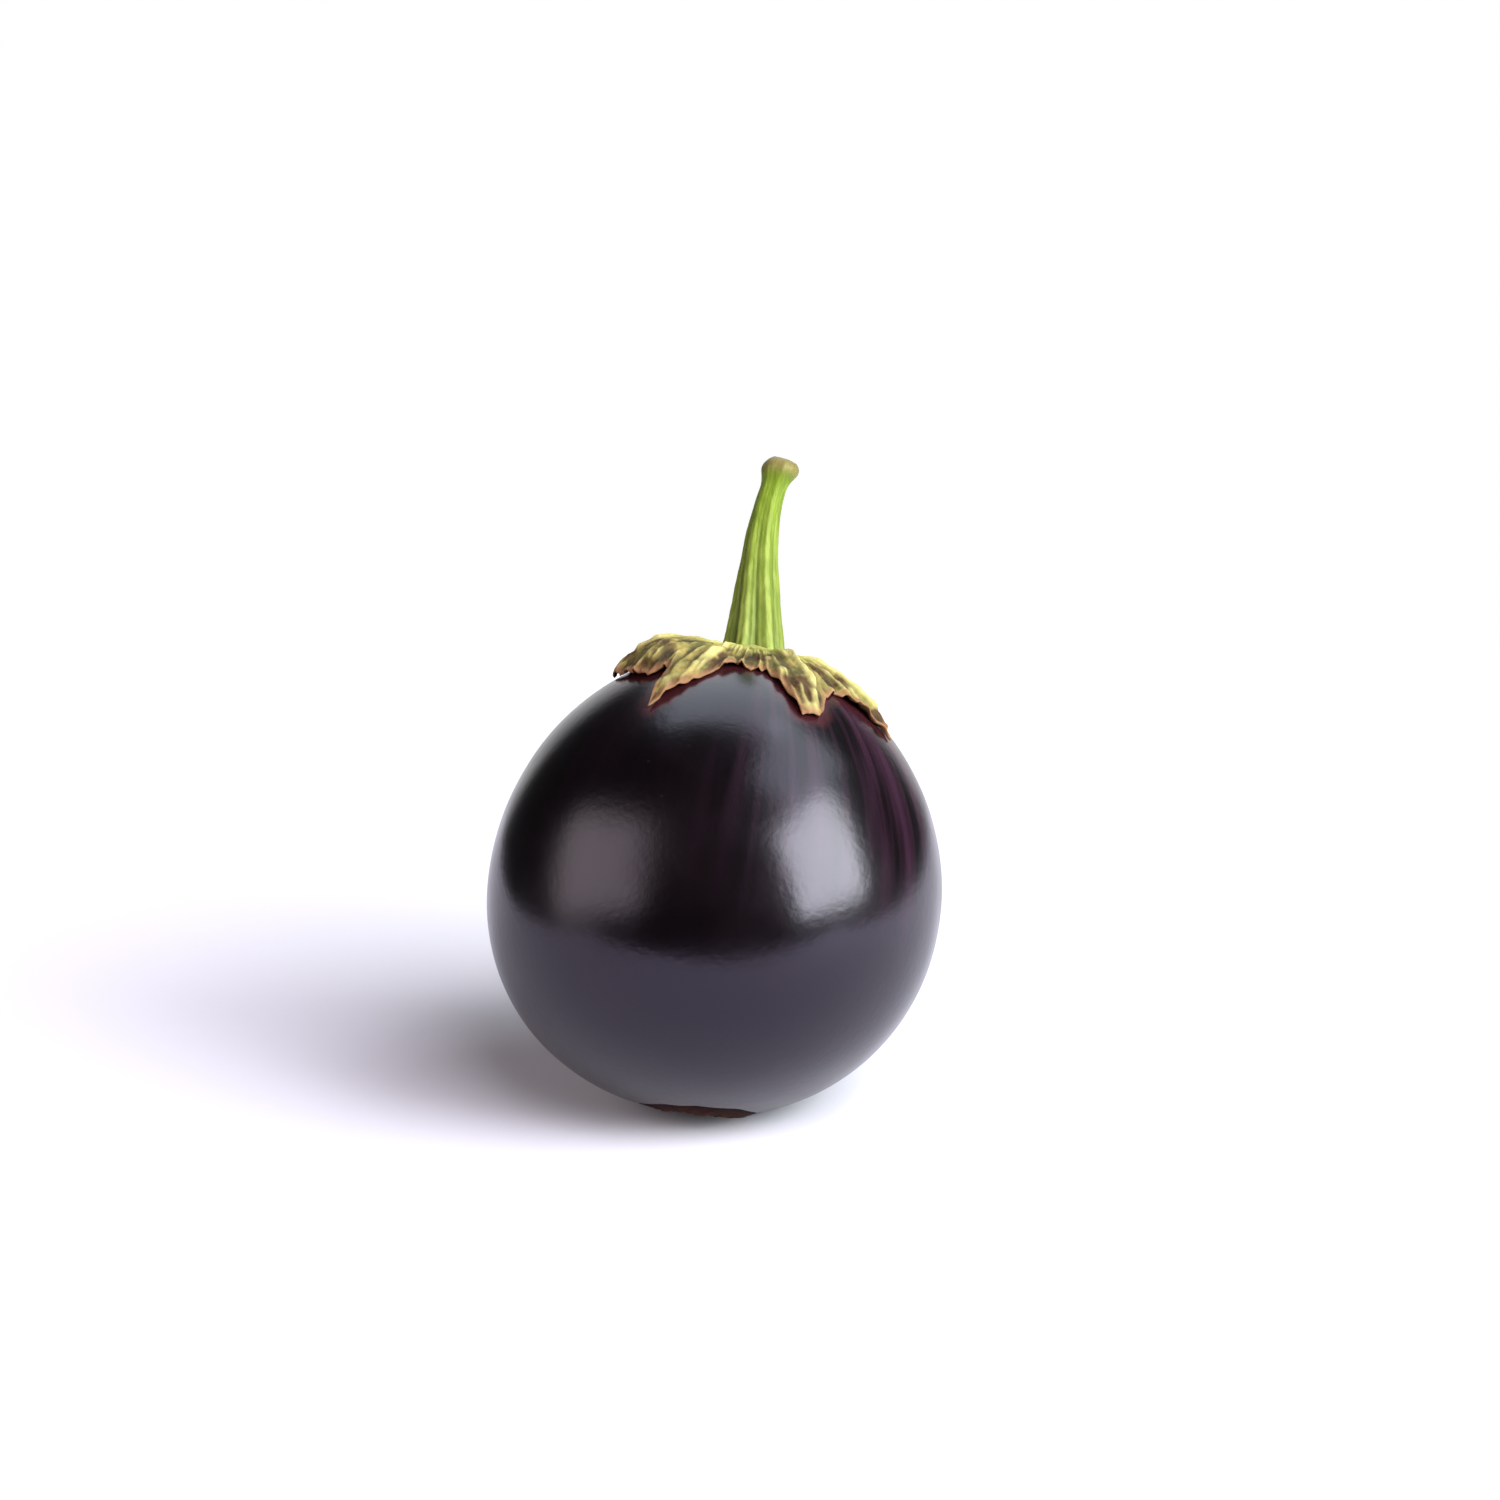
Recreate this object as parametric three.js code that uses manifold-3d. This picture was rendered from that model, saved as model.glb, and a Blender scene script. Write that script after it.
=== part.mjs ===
// A small round eggplant, as picked: the fruit, its dried calyx and its cut stem.
// Millimetres, +Z up. The origin is the centre of the flat spot that the fruit rests on.
// The fruit's own axis, from blossom scar to stem, leans; every piece is shaped in the axis's
// frame, with its origin at the fruit's centre and +Z towards the stem.
import * as THREE from "three";
import { mergeVertices } from "three/addons/utils/BufferGeometryUtils.js";
import Module from "manifold-3d";

const degree = Math.PI / 180;

// Driving sizes, in millimetres and degrees.
const clearance = 0.3; // kept between pieces that touch
const weld = 1e-3; // points closer than this are one point

const fruit = {
  diameter: 60, // widest, across the axis
  length: 62, // from pole to pole
  taper: 0.035, // share by which the stem half is slimmer and the blossom half fuller
  bulge: 0.9, // extra flesh low on one side
  bulgeSpread: 34, // degrees over which the bulge fades
  bulgePolar: 128, // degrees from the stem pole
  bulgeAzimuth: 190, // degrees from +X towards +Y
  scarDepth: 0.8, // hollow at the blossom scar
  scarRadius: 4.5,
};

const lean = { back: 19, right: 9.5 }; // of the fruit's axis, from upright
const footRadius = 6; // of the flat spot that the fruit rests on

const stem = {
  length: 26,
  baseRadius: 4.35, // where it meets the fruit, over its ribs
  neckRadius: 1.65,
  flare: 1.7, // how soon the base runs out into the neck
  ribs: 6,
  ribDepth: 0.16, // share of the radius, at the base
  knobSwell: 0.75, // extra radius of the swollen cut end
  knobPlace: 1.0, // from the cut to the widest of the swelling
  knobSpread: 1.8,
  // How far its line's two handles and its tip stand off the fruit's axis.
  lowHandle: { x: -0.4, y: -0.1 },
  highHandle: { x: -2.8, y: -0.8 },
  tip: { x: 0.1, y: -1.2 },
  cutSlant: -10, // degrees between the cut and the cross-section; it drops towards +X
  slantOnset: 8, // how near the cut the rings start to turn with it
};

const calyx = {
  notchReach: 13.6, // from the stem's axis to the notches between sepals, along the skin
  collarThickness: 1.3, // beside the stem
  edgeThickness: 0.7,
  hollowFlanks: 1.5, // over 1, the sepals' sides curve in towards their midribs
  archPlace: 1.5, // over 1, the sepals stand highest nearer their tips
  sepals: [
    // azimuth, and how far round a sepal spreads before and after it, in degrees; reach along
    // the skin; blunt is the share of the spread that stays full
    { azimuth: -24, reach: 22.8, before: 34, after: 28, blunt: 0.0, lift: 0.8 },
    { azimuth: -69, reach: 22.6, before: 16, after: 28, blunt: 0.15, lift: 0.6 },
    { azimuth: -125, reach: 24.7, before: 9, after: 24, blunt: 0.0, lift: 0.4 },
    { azimuth: -158, reach: 19.0, before: 28, after: 36, blunt: 0.55, lift: 1.8 },
    { azimuth: 122, reach: 21.0, before: 28, after: 28, blunt: 0.15, lift: 1.5 },
    { azimuth: 70, reach: 20.0, before: 26, after: 26, blunt: 0.0, lift: 1.0 },
    { azimuth: 22, reach: 18.6, before: 20, after: 22, blunt: 0.1, lift: 0.6 },
  ],
};

// How finely each blank is cut into faces.
const fineness = {
  fruit: 12, // cuts across each edge of an icosahedron
  footSearch: 40,
  calyxRound: 120,
  calyxAlong: 6,
  stemRound: 36,
  stemAlong: 14,
};

// Directions, seen from the fruit's centre.
function direction(polar, azimuth) {
  return new THREE.Vector3(
    Math.sin(polar) * Math.cos(azimuth),
    Math.sin(polar) * Math.sin(azimuth),
    Math.cos(polar),
  );
}

const bulgeDirection = direction(
  fruit.bulgePolar * degree,
  fruit.bulgeAzimuth * degree,
);

// A point of the fruit's skin. Polar is 0 at the stem and pi at the blossom scar.
function skin(polar, azimuth) {
  const outward = direction(polar, azimuth);
  const girth = (fruit.diameter / 2) * (1 - fruit.taper * outward.z);
  const point = new THREE.Vector3(
    outward.x * girth,
    outward.y * girth,
    (outward.z * fruit.length) / 2,
  );
  const fromBulge = outward.angleTo(bulgeDirection) / (fruit.bulgeSpread * degree);
  point.addScaledVector(outward, fruit.bulge * Math.exp(-(fromBulge ** 2)));
  if (outward.z < 0) {
    const fromScar = Math.hypot(point.x, point.y) / fruit.scarRadius;
    point.z += fruit.scarDepth * Math.exp(-(fromScar ** 2));
  }
  return point;
}

// The point of the skin that a point of a unit sphere stands for.
function skinOver(p) {
  return skin(Math.acos(THREE.MathUtils.clamp(p.z, -1, 1)), Math.atan2(p.y, p.x));
}

// Moves each point of a blank to where place() says, and leaves one closed surface.
function formed(blank, place) {
  const shape = blank.index ? blank.toNonIndexed() : blank;
  shape.deleteAttribute("normal");
  shape.deleteAttribute("uv");
  const points = shape.getAttribute("position");
  const from = new THREE.Vector3();
  for (let i = 0; i < points.count; i += 1) {
    const to = place(from.fromBufferAttribute(points, i));
    points.setXYZ(i, to.x, to.y, to.z);
  }
  return mergeVertices(shape, weld);
}

const wasm = await Module();
wasm.setup();

function solidFrom(geometry) {
  return new wasm.Manifold(
    new wasm.Mesh({
      numProp: 3,
      vertProperties: geometry.getAttribute("position").array,
      triVerts: new Uint32Array(geometry.index.array),
    }),
  );
}

function geometryFrom(solid) {
  const mesh = solid.getMesh();
  return new THREE.BufferGeometry()
    .setAttribute("position", new THREE.BufferAttribute(mesh.vertProperties, 3))
    .setIndex(new THREE.BufferAttribute(mesh.triVerts, 1));
}

// The axis's frame in the part's frame: leaning, and placed so that the flat spot is at z = 0
// with its centre at the origin.
function restingFrame() {
  const frame = new THREE.Group();
  frame.rotation.set(-lean.back * degree, lean.right * degree, 0, "YXZ");
  frame.updateMatrix();
  const sphere = new THREE.IcosahedronGeometry(1, fineness.footSearch).getAttribute("position");
  const surface = [];
  for (let i = 0; i < sphere.count; i += 1) {
    const onSphere = new THREE.Vector3().fromBufferAttribute(sphere, i);
    surface.push(skinOver(onSphere).applyMatrix4(frame.matrix));
  }
  const lowest = surface.reduce((low, p) => Math.min(low, p.z), Infinity);
  const radius = fruit.diameter / 2;
  const footZ = lowest + radius - Math.sqrt(radius ** 2 - footRadius ** 2);
  const under = surface.filter((p) => p.z < footZ);
  const centre = new THREE.Vector3();
  for (const p of under) centre.addScaledVector(p, 1 / under.length);
  frame.position.set(-centre.x, -centre.y, -footZ);
  frame.updateMatrix();
  return frame;
}

// The fruit is whole but for what a table would press flat below it.
function fruitGeometry(frame) {
  const whole = formed(new THREE.IcosahedronGeometry(1, fineness.fruit), skinOver);
  const side = 2 * Math.max(fruit.diameter, fruit.length);
  const below = new THREE.BoxGeometry(side, side, side);
  below.translate(0, 0, -side / 2);
  const table = formed(below, (p) => p.applyMatrix4(frame.matrix.clone().invert()));
  return geometryFrom(solidFrom(whole).subtract(solidFrom(table)));
}

// How far a sepal fills its share at an azimuth: 1 on its midrib and 0 at its notches.
function sepalShare(sepal, azimuth) {
  const turn = azimuth - sepal.azimuth * degree;
  const apart = Math.atan2(Math.sin(turn), Math.cos(turn)) / degree;
  const across = apart < 0 ? -apart / sepal.before : apart / sepal.after;
  const side = Math.max(0, (across - sepal.blunt) / (1 - sepal.blunt));
  return Math.max(0, 1 - side) ** calyx.hollowFlanks;
}

// The calyx is a star-shaped cap round the stem. Along is 0 at the stem and 1 at the rim.
function calyxPoint(along, outer, azimuth) {
  let reach = calyx.notchReach;
  let lift = 0;
  for (const sepal of calyx.sepals) {
    const share = sepalShare(sepal, azimuth);
    reach += share * (sepal.reach - calyx.notchReach);
    lift += share * sepal.lift;
  }
  const hole = stem.baseRadius + clearance;
  const arc = hole + along * (reach - hole);
  const polar = arc / (fruit.diameter / 2);
  const thin = THREE.MathUtils.smoothstep(along, 0, 1);
  const thickness = THREE.MathUtils.lerp(calyx.collarThickness, calyx.edgeThickness, thin);
  const arched = lift * Math.sin(Math.PI * along ** calyx.archPlace);
  const offset = clearance + arched + (outer ? thickness : 0);
  return skin(polar, azimuth).addScaledVector(direction(polar, azimuth), offset);
}

// A ring of square section, 1 wide and 1 high round a unit circle, is its blank.
function calyxGeometry() {
  const steps = fineness.calyxAlong;
  const profile = [];
  for (let i = 0; i <= steps; i += 1) profile.push(new THREE.Vector2(1 + i / steps, 0));
  for (let i = steps; i >= 0; i -= 1) profile.push(new THREE.Vector2(1 + i / steps, 1));
  profile.push(profile[0].clone());
  return formed(new THREE.LatheGeometry(profile, fineness.calyxRound), (p) =>
    calyxPoint(Math.max(0, Math.hypot(p.x, p.z) - 1), p.y > 0.5, Math.atan2(p.x, p.z)),
  );
}

// Radius of the stem over its ribs, at a share of its length.
function stemRadius(share) {
  const spread = stem.baseRadius - stem.neckRadius;
  const fromKnob = ((1 - share) * stem.length - stem.knobPlace) / stem.knobSpread;
  const knob = stem.knobSwell * Math.exp(-(fromKnob ** 2));
  return stem.neckRadius + spread * (1 - share) ** stem.flare + knob;
}

// A unit cylinder is its blank. Each ring keeps its height along the fruit's axis.
function stemGeometry() {
  const base = fruit.length / 2 + clearance;
  const line = new THREE.CubicBezierCurve3(
    new THREE.Vector3(0, 0, base),
    new THREE.Vector3(stem.lowHandle.x, stem.lowHandle.y, base + stem.length / 3),
    new THREE.Vector3(stem.highHandle.x, stem.highHandle.y, base + (2 * stem.length) / 3),
    new THREE.Vector3(stem.tip.x, stem.tip.y, base + stem.length),
  );
  const blank = new THREE.CylinderGeometry(1, 1, 1, fineness.stemRound, fineness.stemAlong);
  return formed(blank, (p) => {
    const share = p.y + 0.5;
    const azimuth = Math.atan2(p.x, p.z);
    const groove = (1 - Math.cos(stem.ribs * azimuth)) / 2;
    const ribbed = 1 - stem.ribDepth * groove * (1 - share);
    const radius = Math.hypot(p.x, p.z) * stemRadius(share) * ribbed;
    const x = radius * Math.cos(azimuth);
    const y = radius * Math.sin(azimuth);
    const slant = x * Math.tan(stem.cutSlant * degree) * share ** stem.slantOnset;
    return line.getPoint(share).add(new THREE.Vector3(x, y, slant));
  });
}

function piece(name, geometry, color, roughness) {
  const material = new THREE.MeshStandardMaterial({ color, roughness, metalness: 0 });
  const mesh = new THREE.Mesh(geometry, material);
  mesh.name = name;
  return mesh;
}

const axisFrame = restingFrame();
axisFrame.add(piece("fruit", fruitGeometry(axisFrame), "#1a0d18", 0.25));
axisFrame.add(piece("calyx", calyxGeometry(), "#9c9358", 0.8));
axisFrame.add(piece("stem", stemGeometry(), "#a5b854", 0.55));

const eggplant = new THREE.Group();
eggplant.name = "eggplant";
eggplant.add(axisFrame);

export default eggplant;
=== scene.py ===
# A small round eggplant, as picked, standing on a pale table.
# Sizes in the dictionaries are millimetres, and angles are written in degrees. Blender's own sizes
# are metres, so a pattern's scale is 1000 over its size in millimetres.
import math

import bpy
import numpy as np
from mathutils import Matrix, Quaternion, Vector, kdtree, noise


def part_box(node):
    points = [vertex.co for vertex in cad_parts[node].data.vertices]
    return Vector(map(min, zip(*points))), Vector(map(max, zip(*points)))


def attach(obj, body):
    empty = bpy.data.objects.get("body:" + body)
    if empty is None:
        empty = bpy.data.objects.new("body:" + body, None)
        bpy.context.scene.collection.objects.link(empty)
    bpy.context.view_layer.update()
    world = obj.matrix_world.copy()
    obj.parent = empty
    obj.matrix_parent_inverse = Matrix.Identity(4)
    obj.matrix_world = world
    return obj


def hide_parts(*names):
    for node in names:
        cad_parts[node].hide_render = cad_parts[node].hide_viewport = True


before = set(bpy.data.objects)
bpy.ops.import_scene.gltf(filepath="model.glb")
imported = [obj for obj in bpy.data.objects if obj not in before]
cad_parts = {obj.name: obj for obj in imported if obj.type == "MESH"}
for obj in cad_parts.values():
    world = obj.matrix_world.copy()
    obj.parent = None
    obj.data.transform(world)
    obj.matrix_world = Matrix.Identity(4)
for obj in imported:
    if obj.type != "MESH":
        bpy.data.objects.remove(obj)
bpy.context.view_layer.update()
millimetre = 0.001
mathNode = "ShaderNodeMath"
vectorNode = "ShaderNodeVectorMath"
print("frame loaded:", sorted(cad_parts))


def linear(hexColour):
    channels = [int(hexColour[i:i + 2], 16) / 255 for i in (1, 3, 5)]
    return [c / 12.92 if c <= 0.04045 else ((c + 0.055) / 1.055) ** 2.4 for c in channels] + [1]


def addNode(tree, kind, links=None, **settings):
    # A link is a value, a socket, or a node that stands for its first output in use.
    node = tree.nodes.new(kind)
    for name, value in settings.items():
        setattr(node, name, value)
    sockets = [s for s in node.inputs if s.enabled]
    for key, value in (links or {}).items():
        socket = sockets[key] if isinstance(key, int) else next(s for s in sockets if s.name == key)
        if isinstance(value, bpy.types.Node):
            value = next(s for s in value.outputs if s.enabled)
        if isinstance(value, bpy.types.NodeSocket):
            tree.links.new(value, socket)
        else:
            socket.default_value = value
    return node


def addBell(tree, distance, width):  # 1 at no distance, and close to 0 past two widths
    share = addNode(tree, mathNode, {0: distance, 1: width}, operation="DIVIDE")
    square = addNode(tree, mathNode, {0: share, 1: share}, operation="MULTIPLY")
    fall = addNode(tree, mathNode, {0: square, 1: -1}, operation="MULTIPLY")
    return addNode(tree, mathNode, {0: fall}, operation="EXPONENT")


def startTree(name, sizes):
    # One named input for each size in a piece's dictionary.
    kinds = {float: "NodeSocketFloat", int: "NodeSocketInt", tuple: "NodeSocketVector"}
    tree = bpy.data.node_groups.new(name, "GeometryNodeTree")
    for label, value in sizes.items():
        tree.interface.new_socket(name=label, in_out="INPUT", socket_type=kinds[type(value)])
    tree.interface.new_socket(name="Geometry", in_out="OUTPUT", socket_type="NodeSocketGeometry")
    return tree, tree.nodes.new("NodeGroupInput").outputs


def endTree(tree, mesh, finish):
    smooth = addNode(tree, "GeometryNodeSetShadeSmooth", {"Geometry": mesh})
    real = addNode(tree, "GeometryNodeRealizeInstances", {0: smooth})
    done = addNode(tree, "GeometryNodeSetMaterial", {"Geometry": real, "Material": finish})
    addNode(tree, "NodeGroupOutput", {0: done})
    return tree


def grow(name, tree, sizes):
    # Runs a tree once and keeps what it makes as a plain mesh.
    piece = bpy.data.objects.new(name, bpy.data.meshes.new(name))
    bpy.context.scene.collection.objects.link(piece)
    growth = piece.modifiers.new("growth", "NODES")
    growth.node_group = tree
    for item in tree.interface.items_tree:
        if item.in_out == "INPUT":
            growth[item.identifier] = sizes[item.name]
    seen = piece.evaluated_get(bpy.context.evaluated_depsgraph_get())
    piece.data = bpy.data.meshes.new_from_object(seen)
    piece.modifiers.remove(growth)
    return piece


def pointsOf(piece):
    places = np.empty(len(piece.data.vertices) * 3)
    piece.data.vertices.foreach_get("co", places)
    return places.reshape(-1, 3)


def keepAttribute(piece, name, values):
    layer = piece.data.attributes.new(name, "FLOAT", "POINT")
    layer.data.foreach_set("value", np.asarray(values, np.float32).ravel())


def startMaterial(name):
    material = bpy.data.materials.new(name)
    material.use_nodes = True
    tree = material.node_tree
    tree.nodes.clear()
    return material, tree


def endMaterial(tree, ground, layers, roughness, normal, plain):
    # A layer is how far it covers what is under it, and its colour: a hex value or a node.
    colour = linear(ground)
    for share, layer in layers:
        top = linear(layer) if isinstance(layer, str) else layer
        colour = addNode(tree, "ShaderNodeMix", {0: share, 1: colour, 2: top}, data_type="RGBA")
    shader = addNode(tree, "ShaderNodeBsdfPrincipled",
                     {"Base Color": colour, "Roughness": roughness, "Normal": normal, **plain})
    addNode(tree, "ShaderNodeOutputMaterial", {"Surface": shader})


def noiseAt(x, y, z):
    # Smooth noise from -1 to 1, for arrays of places. A bare number for z only picks a pattern.
    places = np.broadcast_arrays(x, y, z)
    values = [noise.noise(Vector(place)) for place in zip(*(part.ravel() for part in places))]
    return np.array(values).reshape(places[0].shape)


def addShell(name, upper, lower, middleOpen, attributes, finish):
    # A closed sheet of rings that run outwards. Its upper and lower sides share the last ring.
    rings, around = upper.shape[:2]
    top = np.arange(rings * around).reshape(rings, around)
    under = np.vstack([top[:-1] + rings * around, top[-1:]])
    points = np.concatenate([upper.reshape(-1, 3), lower[:-1].reshape(-1, 3)])
    values = {key: np.concatenate([value.ravel(), value[:-1].ravel()])
              for key, value in attributes.items()}
    faces = []
    for grid, step in ((top, 1), (under, -1)):
        inner, outer = grid[:-1], grid[1:]
        corners = [inner, outer, np.roll(outer, -1, 1), np.roll(inner, -1, 1)]
        faces += np.stack(corners[::step], -1).reshape(-1, 4).tolist()
    first, second = top[0], under[0]
    if middleOpen:
        wall = [first, np.roll(first, -1), np.roll(second, -1), second]
        faces += np.stack(wall, -1).tolist()
    else:
        count = len(points)
        points = np.concatenate([points, points[first].mean(0)[None], points[second].mean(0)[None]])
        values = {key: np.append(value, [value[0], value[0]]) for key, value in values.items()}
        for i in range(around):
            j = (i + 1) % around
            faces.append([count, int(first[i]), int(first[j])])
            faces.append([count + 1, int(second[j]), int(second[i])])
    mesh = bpy.data.meshes.new(name)
    mesh.from_pydata((points * millimetre).tolist(), [], faces)
    mesh.polygons.foreach_set("use_smooth", [True] * len(mesh.polygons))
    mesh.materials.append(finish)
    piece = bpy.data.objects.new(name, mesh)
    bpy.context.scene.collection.objects.link(piece)
    for key, value in values.items():
        keepAttribute(piece, key, value)
    return piece


# Directions round the fruit's own axis, which leans.

axis = {
    "leanBack": 19.0,
    "leanRight": 9.5,
}


def leaning(sizes):
    return (Matrix.Rotation(math.radians(sizes["leanRight"]), 3, "Y")
            @ Matrix.Rotation(math.radians(-sizes["leanBack"]), 3, "X"))


lean = leaning(axis)


def toward(polar, azimuth):  # polar is 0 at the stem, and both are in radians
    return Vector((math.sin(polar) * math.cos(azimuth), math.sin(polar) * math.sin(azimuth),
                   math.cos(polar)))


# The scar and the calyx's outline, which the skin's colours need too.

scar = {
    "leanBack": 22.0,  # it lies a little in front of the axis, and to its right
    "leanRight": 5.0,
    "radius": 7.8,
    "ringAt": 5.2,
    "ringWidth": 1.5,
    "ringHeight": 0.25,
    "starReach": 3.6,
    "starPoints": 5,
    "starWaist": 0.55,  # share of the reach between its points
    "splitDepth": 0.85,  # share of the cork's height
    "splitSlope": 0.6,
    "corkHeight": 0.18,
    "corkSize": 0.9,
    "filmHeight": 0.06,  # thinnest cork, before its edge
    "domeHeight": 0.2,
    "pressedUnder": 1.2,  # height over the table where the table starts to press the cork flat
    "aroundSteps": 220,
    "outSteps": 60,
}

calyx = {
    "notchReach": 13.6,  # from the stem's axis to the notches between sepals, along the skin
    "hollowFlanks": 1.5,  # over 1, the sepals' sides curve in towards their midribs
    "archPlace": 1.5,  # over 1, the sepals stand highest nearer their tips
    "archFrom": 4.65,
    "aroundSteps": 700,
    "outSteps": 60,
    "rimFineness": 1.6,  # over 1, the steps are finer at the rim
    "holeRadius": 2.7,  # hidden in the stem's foot
    "collarClimb": 0.35,  # how far it runs up the stem
    "collarSpread": 1.3,
    "thickness": 0.8,
    "edgeThickness": 0.4,
    "edgeRounding": 0.3,
    "reliefFrom": 4.6,  # smooth up to here, beside the stem
    "reliefOver": 4.0,
    "midribHeight": 0.6,
    "midribWidth": 0.9,
    "midribFade": 4.0,  # before the rim
    "foldHeight": 0.58,
    "foldsRound": 9.0,
    "foldLength": 8.0,
    "crumpleHeight": 0.48,
    "crumpleSize": 2.4,
    "curlHeight": 0.8,
    "curlWidth": 1.6,
    "curlShare": 0.35,  # of the height, before its unevenness
    "curlUnevenness": 1.1,
    "raggedness": 0.6,
    "tearsRound": 9.0,
    "skinGap": 0.04,
}
sepals = [
    # Degrees round the stem, and reach along the skin. Before and after are how far round a sepal
    # spreads on either side, and blunt is the share of the spread that stays full.
    {"azimuth": -24, "rib": -26, "reach": 22.8, "before": 34, "after": 28, "blunt": 0.0, "lift": 0.5},
    {"azimuth": -69, "rib": -64, "reach": 22.6, "before": 16, "after": 28, "blunt": 0.15, "lift": 0.6},
    {"azimuth": -125, "rib": -118, "reach": 24.7, "before": 9, "after": 24, "blunt": 0.0, "lift": 0.4},
    {"azimuth": -158, "rib": -160, "reach": 19.0, "before": 28, "after": 36, "blunt": 0.55, "lift": 1.8},
    {"azimuth": 122, "rib": 122, "reach": 21.0, "before": 28, "after": 28, "blunt": 0.15, "lift": 1.5},
    {"azimuth": 70, "rib": 70, "reach": 20.0, "before": 26, "after": 26, "blunt": 0.0, "lift": 1.0},
    {"azimuth": 22, "rib": 22, "reach": 18.6, "before": 20, "after": 22, "blunt": 0.1, "lift": 0.6},
]


def turnFrom(degrees, azimuth):  # radians from one azimuth round to another, within half a turn
    turn = azimuth - math.radians(degrees)
    return np.arctan2(np.sin(turn), np.cos(turn))


def sepalShare(sepal, azimuth):  # 1 on the midrib and 0 at the notches
    turn = np.degrees(turnFrom(sepal["azimuth"], azimuth))
    across = np.where(turn < 0, -turn / sepal["before"], turn / sepal["after"])
    side = np.maximum(0, (across - sepal["blunt"]) / (1 - sepal["blunt"]))
    return np.maximum(0, 1 - side) ** calyx["hollowFlanks"]


def calyxReach(azimuth):  # with the small tears of a dry edge
    spread = sum(sepalShare(s, azimuth) * (s["reach"] - calyx["notchReach"]) for s in sepals)
    x, y = calyx["tearsRound"] * np.cos(azimuth), calyx["tearsRound"] * np.sin(azimuth)
    torn = noiseAt(x, y, 3.1) + 0.5 * noiseAt(3.3 * x, 3.3 * y, 8.7)
    return calyx["notchReach"] + spread + calyx["raggedness"] * torn


# The fruit.

fruit = {
    "diameter": 60.0,
    "length": 62.0,
    "taper": 0.035,  # share by which the stem half is slimmer and the blossom half fuller
    "bulge": 0.9,  # extra flesh low on one side
    "bulgeSpread": math.radians(34),
    "bulgeToward": tuple(toward(math.radians(128), math.radians(190))),
    "scarDepth": 0.8,
    "scarRadius": 4.5,
    "lobes": 5.0,  # faint flats that run from stem to scar
    "lobeHeight": 0.1,
    "lumpHeight": 0.14,
    "lumpScale": 2.2,  # lumps to a radius
    "lean": (math.radians(-axis["leanBack"]), math.radians(axis["leanRight"]), 0.0),
    "centre": (0.0, 0.0, 0.0),
    "table": -100.0,  # height that the underside is pressed flat at
    "footSoftness": 0.3,
    "cuts": 119,
    "seed": 4.0,
}


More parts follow.
